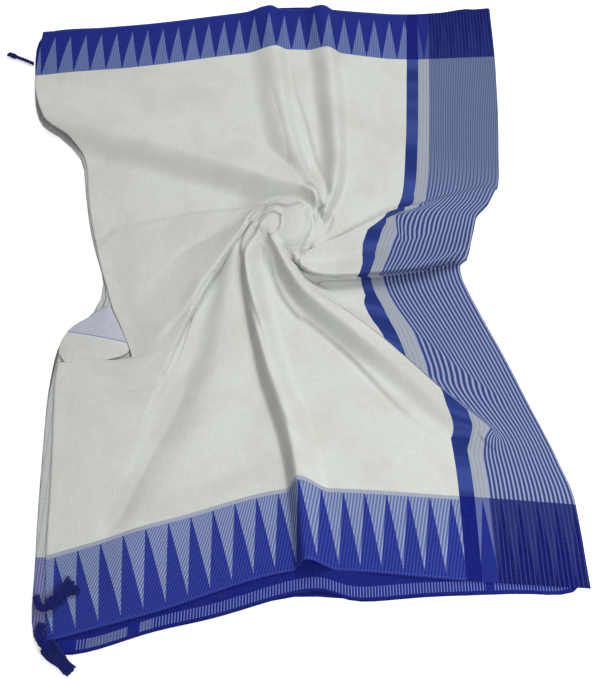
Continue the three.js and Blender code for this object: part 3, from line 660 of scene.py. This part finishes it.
def flapCotton():      # turned-back corner: cream roll, then the pale striped reverse
    material, add = newMaterial("reverse of the striped cotton")
    x, y = placeIn(add, add("TexCoord", output="Object"))
    height = threadHeight(add, x, y)
    acrossIt = add("Math", [x, corner["x"]], operation="SUBTRACT")
    upIt = add("Math", [y, corner["y"]], operation="SUBTRACT")
    past = add("Math", [acrossIt, corner["lean"], upIt], operation="MULTIPLY_ADD")
    lines = stripes(add, past, corner["pitch"], 0.35)
    lilac = add("Mix", [lines, linear("#c2c4ce"), linear("#a8abbd")], data_type="RGBA")
    isLilac = add("Math", [past, 0.0], operation="GREATER_THAN")
    colour = add("Mix", [isLilac, linear("#cbcec8"), lilac], data_type="RGBA")
    # a light line on the cream roll's edge and a dark line where the lilac starts: painted highlight and
    # painted shade along the fold
    for place, hexColour in ((corner["paintedFoldShade"], "#8d8fa6"), (corner["paintedFoldHighlight"], "#cdd0d6")):
        colour = add("Mix", [between(add, past, *place), colour, linear(hexColour)], data_type="RGBA")
    clothShader(add, toned(add, colour, height, 0.8), height, weave["sheen"])
    return material


yarnColours = {"deep": "#090d48", "light": "#18217c", "spots": 900.0}      # spots to the metre


def yarnCotton():      # navy yarn: each strand a little different
    material, add = newMaterial("twisted navy cotton yarn")
    spots = add("TexNoise", [add("TexCoord", output="Object"), yarnColours["spots"], 2.0])
    lighter = add("MapRange", [spots, 0.35, 0.7], interpolation_type="SMOOTHSTEP")
    colour = add("Mix", [lighter, linear(yarnColours["deep"]), linear(yarnColours["light"])],
                 data_type="RGBA")
    clothShader(add, colour, spots, 0.1)
    return material


# meshes

def linkPiece(piece, material, node):
    piece.data.materials.append(material)
    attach(piece, "root")
    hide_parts(node)


def newPiece(name, bm):
    mesh = bpy.data.meshes.new(name)
    bm.to_mesh(mesh)
    bm.free()
    piece = bpy.data.objects.new(name, mesh)
    bpy.context.scene.collection.objects.link(piece)
    for polygon in mesh.polygons:
        polygon.use_smooth = True
    return piece


detail = 1.0


def cells(count):
    return max(2, int(count * detail))


def denser(low, high, at, place, tightness):      # shares 0 to 1 spread so that they crowd at a place
    d = (place - low) / (high - low)
    bend = at - tightness * np.sin(2 * np.pi * (at - d)) / (2 * np.pi)
    first = -tightness * np.sin(-2 * np.pi * d) / (2 * np.pi)
    return low + (high - low) * (bend - first)


def stretch(name, sRange, tRange, counts, crowd=0.0):      # a stretch of the upper cloth, by shares
    bm = bmesh.new()
    bmesh.ops.create_grid(bm, x_segments=cells(counts[0]), y_segments=cells(counts[1]), size=0.5,
                          calc_uvs=False)
    piece = newPiece(name, bm)
    mesh = piece.data
    at = np.zeros(len(mesh.vertices) * 3)
    mesh.vertices.foreach_get("co", at)
    at = at.reshape(-1, 3)
    s = denser(sRange[0], sRange[1], at[:, 0] + 0.5, cloth["midAt"], crowd)
    t = denser(tRange[0], tRange[1], at[:, 1] + 0.5, 0.5, crowd)
    x, y, z = clothPoint(s, t)
    if name == "whiteField":      # dips under the wound middle
        r = np.hypot(x - hub["x"], y - hub["y"])
        z = z - hub["dip"] * (1 - smooth(hub["radius"] - 4, hub["radius"] - 1, r))
    mesh.vertices.foreach_set("co", (np.stack([x, y, z], 1) * mm).ravel())
    loops = np.zeros(len(mesh.loops), int)
    mesh.loops.foreach_get("vertex_index", loops)
    layer = mesh.uv_layers.new(name="cloth")
    along = s * cloth["length"]
    if name in ("nearBorder", "farBorder"):      # the spikes keep their pitch along the hem
        along = lay(s, np.full(s.shape, 0.0 if name == "nearBorder" else 1.0))[0]
    uv = np.stack([along, t * cloth["width"]], 1) * mm
    layer.data.foreach_set("uv", uv[loops].ravel())
    mesh.update()
    return piece


def addHem(piece, u=None, v=None):      # turns the free edge at that u or v down, as thick as the cloth
    bm = bmesh.new()
    bm.from_mesh(piece.data)
    layer = bm.loops.layers.uv["cloth"]
    edges = []
    for edge in bm.edges:
        if len(edge.link_faces) != 1:
            continue
        places = [loop[layer].uv for loop in edge.link_loops[0].face.loops if loop.vert in edge.verts]
        if v is not None and all(abs(place.y - v) < 1e-6 for place in places):
            edges.append(edge)
        if u is not None and all(abs(place.x - u) < 1e-6 for place in places):
            edges.append(edge)
    if u is not None:
        outward = Vector((-1, 0, 0))
    else:
        outward = Vector((0, 1 if v else -1, 0))
    for drop, out in ((0.5, 0.35), (1.0, -0.9)):      # mm down and outwards
        made = bmesh.ops.extrude_edge_only(bm, edges=edges)
        verts = [g for g in made["geom"] if isinstance(g, bmesh.types.BMVert)]
        edges = [g for g in made["geom"] if isinstance(g, bmesh.types.BMEdge)]
        bmesh.ops.translate(bm, verts=verts, vec=(outward * out - Vector((0, 0, drop))) * mm)
    bm.to_mesh(piece.data)
    bm.free()
    for polygon in piece.data.polygons:
        polygon.use_smooth = True


# faces along the cloth and across it, and how far those of the field crowd towards the twist
grid = {"field": (280, 340), "border": (290, 40), "band": (10, 420), "end": (80, 420), "crowd": 0.5}

print("upper cloth")
share = cloth["borderShare"]
widthM = cloth["width"] * mm
field = stretch("whiteField", (0, cloth["bandAt"]), (share, 1 - share), grid["field"], grid["crowd"])
near = stretch("nearBorder", (0, cloth["bandAt"]), (0, share), grid["border"])
far = stretch("farBorder", (0, cloth["bandAt"]), (1 - share, 1), grid["border"])
band = stretch("crossBand", (cloth["bandAt"], cloth["bandEnd"]), (0, 1), grid["band"])
end = stretch("endPiece", (cloth["bandEnd"], 1), (0, 1), grid["end"])
addHem(near, v=0)
addHem(far, v=widthM)
for piece in (band, end):
    addHem(piece, v=0)
    addHem(piece, v=widthM)
addHem(field, u=0)

white = whiteCotton()
linkPiece(field, white, "body_field")
nearCotton = templeCotton("near temple border cotton", 0, nearTemple)
farCotton = templeCotton("far temple border cotton", cloth["width"], farTemple)
linkPiece(near, nearCotton, "near_border")
linkPiece(far, farCotton, "far_border")
linkPiece(band, bandCotton(), "cross_band")
linkPiece(end, stripedCotton(), "end_piece")


# its spokes turn by this many radians for each mm; it lies over the field, and dips to it at its rim
middleSizes = {"spokes": 260, "rings": 110, "turn": 0.12, "over": 0.15, "seam": 0.5}


def woundMiddle():      # a disc of cloth, its spokes bent with the twist
    bm = bmesh.new()
    bmesh.ops.create_grid(bm, x_segments=cells(middleSizes["spokes"]),
                          y_segments=cells(middleSizes["rings"]), size=0.5)
    r = np.array([(v.co.y + 0.5) * (hub["radius"] + 1) for v in bm.verts])
    angle = np.array([(v.co.x + 0.5) * 2 * math.pi for v in bm.verts]) + r * middleSizes["turn"]
    x, y = hub["x"] + r * np.cos(angle), hub["y"] + r * np.sin(angle)
    z = cloth["bed"] + unevenness(x, y) + ridges(x, y) + wound(x, y) + middleSizes["over"]
    z = z - middleSizes["seam"] * smooth(hub["radius"] - 0.5, hub["radius"] + 1, r)
    uv = bm.loops.layers.uv.new("cloth")
    for i, vert in enumerate(bm.verts):
        vert.co = Vector((x[i], y[i], z[i])) * mm
    for face in bm.faces:
        for loop in face.loops:
            loop[uv].uv = (loop.vert.co.x + 0.4, loop.vert.co.y + 0.6)      # about as the field's runs
    bmesh.ops.remove_doubles(bm, verts=bm.verts, dist=1e-6)
    bmesh.ops.recalc_face_normals(bm, faces=bm.faces)
    return newPiece("woundMiddle", bm)


print("wound middle")
middle = woundMiddle()
linkPiece(middle, white, "wound_middle")


def edgeUv(piece):      # u is how far in from the outline a place is, on its bearing from the twist
    verts = piece.data.vertices
    far = {}
    polar = []
    for vert in verts:
        dx, dy = vert.co.x - hub["x"] * mm, vert.co.y - hub["y"] * mm
        key = round(math.degrees(math.atan2(dy, dx)), 2)
        polar.append((key, math.hypot(dx, dy)))
        far[key] = max(far.get(key, 0), polar[-1][1])
    layer = piece.data.uv_layers.new(name="edge")
    for loop in piece.data.loops:
        key, r = polar[loop.vertex_index]
        layer.data[loop.index].uv = (far[key] - r, 0)


def copyOfNode(name, node, levels, top=None):      # rounded, and cut down to a height if one is given
    bm = bmesh.new()
    bm.from_mesh(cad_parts[node].data)
    if top:
        for vert in bm.verts:
            vert.co.z = min(vert.co.z, top * mm)
    bmesh.ops.remove_doubles(bm, verts=bm.verts, dist=1e-6)
    bmesh.ops.join_triangles(bm, faces=bm.faces, angle_face_threshold=3.1, angle_shape_threshold=3.1)
    piece = newPiece(name, bm)
    modifier = piece.modifiers.new("rounding", "SUBSURF")
    modifier.levels = modifier.render_levels = levels
    return piece


print("layers below")
layers = layerCotton()
second = copyOfNode("underLayer", "second_layer", 1)
edgeUv(second)
linkPiece(second, layers, "second_layer")
stack = copyOfNode("foldedLayers", "hidden_layers", 1, 5.4)      # clear of the cloth over them
edgeUv(stack)
linkPiece(stack, layers, "hidden_layers")
flap = copyOfNode("notchFlap", "notch_flap", 2)
linkPiece(flap, flapCotton(), "notch_flap")


# each tassel, in mm: four places of its cord, their height, radius of the cord and of the knot,
# how many yarns, how far they run, how wide they fan in degrees, and 1 if they are tied at the end
tasselColumns = "node x0 y0 x1 y1 x2 y2 x3 y3 z cord knot yarns length fan tied".split()
tassels = [dict(zip(tasselColumns, row)) for row in (
    ("tassel_far", -425.3, 455, -440, 463, -455, 470, -468, 476, 5, 2.2, 4.8, 50, 13, 8, 0),
    ("tassel_near_upper", -263, -520, -258, -531, -249, -535, -241, -528, 14, 3.2, 10, 200, 38, 26, 0),
    ("tassel_near_lower", -252, -556, -254, -566, -248, -575, -239, -583, 9, 4.2, 12, 170, 46, 2, 1),
)]


yarnSizes = {
    "yarn": 0.75,             # radii in mm; a real yarn is thinner, and there are more of them
    "wrap": 1.7,
    "lastWrap": 1.3,
    "lastRadius": 4.6,        # of the turns that bind the loose ends
    "wrapPitch": 2.4,
    "lastPitch": 2.6,
    "wrapSlant": 1.6,
    "plyApart": 0.7,          # as a share of the cord's radius
    "plyTurn": 1.1,           # radians from one place of the cord to the next
    "floor": 1.0,             # the lowest a yarn lies
}


def tubeAlong(bm, points, radius, sides):
    rings = []
    for i, point in enumerate(points):
        ahead = (points[min(i + 1, len(points) - 1)] - points[max(i - 1, 0)]).normalized()
        across = ahead.cross(Vector((0, 0, 1)))
        across = across.normalized() if across.length > 1e-4 else Vector((1, 0, 0))
        up = across.cross(ahead)
        rings.append([bm.verts.new((point + radius * (across * math.cos(2 * math.pi * k / sides)
                                                      + up * math.sin(2 * math.pi * k / sides))) * mm)
                      for k in range(sides)])
    for a, b in zip(rings, rings[1:]):
        for k in range(sides):
            bm.faces.new((a[k], a[(k + 1) % sides], b[(k + 1) % sides], b[k]))
    bm.faces.new(rings[0][::-1])
    bm.faces.new(rings[-1])


def cord(bm, centre, radius):      # two plies, twisted
    for ply in (0, math.pi):
        path = []
        for i, point in enumerate(centre):
            ahead = (centre[min(i + 1, len(centre) - 1)] - centre[max(i - 1, 0)]).normalized()
            across = ahead.cross(Vector((0, 0, 1)))
            turn = ply + i * yarnSizes["plyTurn"]
            offset = across * math.cos(turn) + Vector((0, 0, math.sin(turn)))
            path.append(point + yarnSizes["plyApart"] * radius * offset)
        tubeAlong(bm, path, radius, 8)


def turnOfYarn(bm, middle, out, across, radius, flatness, slant, thickness):
    circle = []
    for k in range(21):
        turn = 2 * math.pi * k / 20
        around = across * math.cos(turn) + Vector((0, 0, flatness * math.sin(turn)))
        circle.append(middle + radius * around + out * slant * math.sin(turn))
    tubeAlong(bm, circle, thickness, 6)


def looseYarns(bm, row, end, out, across, flatness):
    bearing = math.atan2(out.y, out.x)
    for i in range(row["yarns"]):
        a = noise.random() * 2 - 1
        b = noise.random()
        turn = bearing + math.radians(row["fan"]) * 0.5 * a
        length = row["length"] * (0.72 + 0.28 * noise.random())
        curl = (noise.random() - 0.5) * (0.25 if row["tied"] else 0.8)
        path = []
        for k in range(9):
            u = k / 8
            heading = turn + curl * u
            level = (b - 0.5) * ((1 - u) * row["knot"] * flatness * 1.5 + u * 3)
            arch = 2.2 * math.sin(math.pi * u) * b
            sag = (row["z"] - 2.4) * 0.3 * u * u
            z = max(yarnSizes["floor"], row["z"] + level + arch - sag)
            side = a * row["knot"] * (0.7 if not row["tied"] else 0.85 - 0.5 * smooth(0.2, 0.85, u))
            path.append(Vector((end.x + length * u * math.cos(heading) + across.x * side,
                                end.y + length * u * math.sin(heading) + across.y * side, z)))
        tubeAlong(bm, path, yarnSizes["yarn"], 4)


def tassel(row):      # cord, wound knot, loose yarns, and the turns that bind them
    bm = bmesh.new()
    route = splinePoints([np.array([row["x%d" % i], row["y%d" % i]]) for i in range(4)], 24)
    centre = [Vector((p[0], p[1], row["z"])) for p in route]
    cord(bm, centre, row["cord"])
    end = centre[-1]
    out = (centre[-1] - centre[-2]).normalized()
    across = out.cross(Vector((0, 0, 1)))
    flatness = 0.75 * min(1, (row["z"] - 0.6) / row["knot"])      # the knot doesn't reach the floor
    for wrap in range(4):
        middle = end + out * (wrap - 1.5) * yarnSizes["wrapPitch"]
        radius = row["knot"] * (0.72 + 0.12 * math.sin(wrap * 2.1))
        turnOfYarn(bm, middle, out, across, radius, flatness, yarnSizes["wrapSlant"], yarnSizes["wrap"])
    looseYarns(bm, row, end, out, across, flatness)
    if row["tied"]:
        tip = end + out * row["length"] * 0.82 - Vector((0, 0, row["z"] - 5.5))
        for wrap in range(2):
            middle = tip + out * wrap * yarnSizes["lastPitch"]
            turnOfYarn(bm, middle, out, across, yarnSizes["lastRadius"], 0.9, 0, yarnSizes["lastWrap"])
    piece = newPiece(row["node"] + "_yarn", bm)
    linkPiece(piece, yarns, row["node"])


print("tassels")
noise.seed_set(7)
yarns = yarnCotton()
for row in tassels:
    tassel(row)

# floor, light and camera
studio = {
    "floor": "#fbfbfb",
    "floorSize": 12,
    "floorGlow": 0.45,
    "key": {"place": (0.5, 1.3, 2.0), "size": 1.1, "power": 34, "target": (0, 0, 0)},
    "near": {"place": (0.75, -0.95, 1.15), "size": 0.8, "power": 13.5, "target": (0, -0.4, 0)},
    "world": 0.25,
}


floorMaterial, add = newMaterial("matt white board")
board = add("BsdfPrincipled", {
    "Base Color": linear(studio["floor"]),
    "Roughness": 0.9,
    "Emission Color": (1, 1, 1, 1),
    "Emission Strength": studio["floorGlow"],
})
add("OutputMaterial", {"Surface": board})
floorMesh = bmesh.new()
bmesh.ops.create_grid(floorMesh, x_segments=2, y_segments=2, size=studio["floorSize"] / 2)
floor = newPiece("floor", floorMesh)
floor.data.materials.append(floorMaterial)


def areaLight(name, place, size, power, target):
    data = bpy.data.lights.new(name, "AREA")
    data.energy = power
    data.size = size
    lamp = bpy.data.objects.new(name, data)
    lamp.location = place
    lamp.rotation_euler = (Vector(target) - Vector(place)).to_track_quat("-Z", "Y").to_euler()
    bpy.context.scene.collection.objects.link(lamp)


print("floor, light and camera")
for name in ("key", "near"):
    areaLight(name, **studio[name])
world = bpy.data.worlds.new("studio")
bpy.context.scene.world = world
world.use_nodes = True
world.node_tree.nodes["Background"].inputs[0].default_value = (1, 1, 1, 1)
world.node_tree.nodes["Background"].inputs[1].default_value = studio["world"]

view = {"place": (0.092, -0.601, 1.014), "tilt": 24.8, "lens": 37.11}
cameraData = bpy.data.cameras.new("camera")
cameraData.lens = view["lens"]
cameraData.sensor_width = 36
camera = bpy.data.objects.new("camera", cameraData)
camera.location = view["place"]
camera.rotation_euler = (math.radians(view["tilt"]), 0, 0)
bpy.context.scene.collection.objects.link(camera)
bpy.context.scene.camera = camera
bpy.context.scene.view_settings.view_transform = "Standard"
